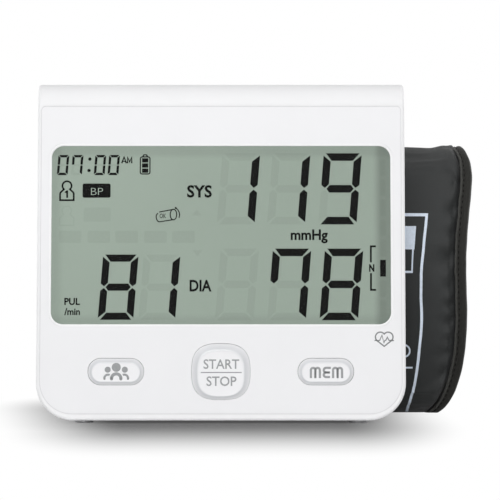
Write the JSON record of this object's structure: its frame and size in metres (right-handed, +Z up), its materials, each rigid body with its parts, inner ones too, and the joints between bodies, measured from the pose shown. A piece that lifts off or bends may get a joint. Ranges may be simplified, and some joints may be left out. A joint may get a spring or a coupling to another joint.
{
  "type": "blood pressure monitor",
  "caption": "Standing white blood pressure monitor with a large grey display, push buttons below it and a dark arm cuff standing as a loop behind the case.",
  "frame": {"origin": "on the table under the middle of the monitor's case", "axes": "+X to the right of the face, the face looks towards -Y, +Z up"},
  "size_m": [0.1937, 0.1147, 0.1475],
  "materials": {
    "case_white": "satin",
    "panel_white": "satin",
    "button_white": "satin",
    "holder_white": "matte",
    "window_clear": "gloss",
    "display_grey": "satin",
    "board_green": "satin",
    "black_plastic": "satin",
    "grey_plastic": "satin",
    "steel": "satin",
    "electrode_steel": "satin",
    "black_rubber": "matte",
    "grey_rubber": "matte",
    "clear_tube": "satin",
    "cell_jacket": "gloss",
    "cuff_cloth": "matte",
    "lining_cloth": "matte",
    "binding_tape": "matte",
    "fastener_pile": "matte"
  },
  "bodies": {
    "monitor": {"rear_housing": "case_white", "front_panel": "panel_white", "display_window": "window_clear", "display_glass": "display_grey", "display_holder": "holder_white", "contact_strips": "black_rubber", "switch_bodies": "black_plastic", "main_board": "board_green", "board_screws": "steel", "board_chips": "black_plastic", "buzzer": "black_plastic", "case_screws": "steel", "rubber_feet": "grey_rubber", "battery_tray": "case_white", "battery_cells": "cell_jacket", "battery_contacts": "steel", "pump_motor": "steel", "pump_head": "black_plastic", "pump_boot": "black_rubber", "pump_tube": "clear_tube", "socket_tube": "clear_tube", "valve_tube": "clear_tube", "sensor_tube": "clear_tube", "air_manifold": "holder_white", "air_socket": "grey_plastic", "pressure_sensor": "black_plastic", "exhaust_valve_body": "black_plastic", "power_jack": "black_plastic", "electrode_left": "electrode_steel", "electrode_right": "electrode_steel"},
    "start_stop_button": {"start_stop_button": "button_white", "start_stop_switch_plunger": "black_plastic"},
    "user_button": {"user_button": "button_white", "user_switch_plunger": "black_plastic"},
    "memory_button": {"memory_button": "button_white", "memory_switch_plunger": "black_plastic"},
    "battery_door": {"battery_door": "case_white"},
    "pump_rotor": {"pump_rotor": "steel"},
    "valve_plunger": {"exhaust_valve_plunger": "steel"},
    "cuff": {"cuff_outer_cover": "cuff_cloth", "cuff_bladder": "black_rubber", "cuff_lining": "lining_cloth", "cuff_edge_binding": "binding_tape", "cuff_d_ring": "steel", "cuff_hook_patch": "fastener_pile", "cuff_loop_patch": "fastener_pile", "cuff_air_port": "black_plastic"}
  },
  "joints": [
    {"name": "start_stop_press", "type": "slide", "parent": "monitor", "child": "start_stop_button", "axis": [0, 0.9945, -0.1045], "range_m": [0, 0.0008], "stiffness_N_per_m": 800},
    {"name": "user_press", "type": "slide", "parent": "monitor", "child": "user_button", "axis": [0, 0.9945, -0.1045], "range_m": [0, 0.0008], "stiffness_N_per_m": 800},
    {"name": "memory_press", "type": "slide", "parent": "monitor", "child": "memory_button", "axis": [0, 0.9945, -0.1045], "range_m": [0, 0.0008], "stiffness_N_per_m": 800},
    {"name": "battery_door_hinge", "type": "hinge", "parent": "monitor", "child": "battery_door", "pos_m": [0, -0.00875, 0.0023], "axis": [-1, 0, 0], "range_deg": [0, 80]},
    {"name": "pump_rotor_spin", "type": "hinge", "parent": "monitor", "child": "pump_rotor", "pos_m": [-0.01, 0.00295, 0.0329], "axis": [1, 0, 0], "continuous": true},
    {"name": "valve_plunger_slide", "type": "slide", "parent": "monitor", "child": "valve_plunger", "axis": [1, 0, 0], "range_m": [0, 0.0006], "stiffness_N_per_m": 300},
    {"name": "cuff_lift", "type": "slide", "parent": "monitor", "child": "cuff", "axis": [0, 0, 1], "range_m": [0, 0.2]}
  ]
}
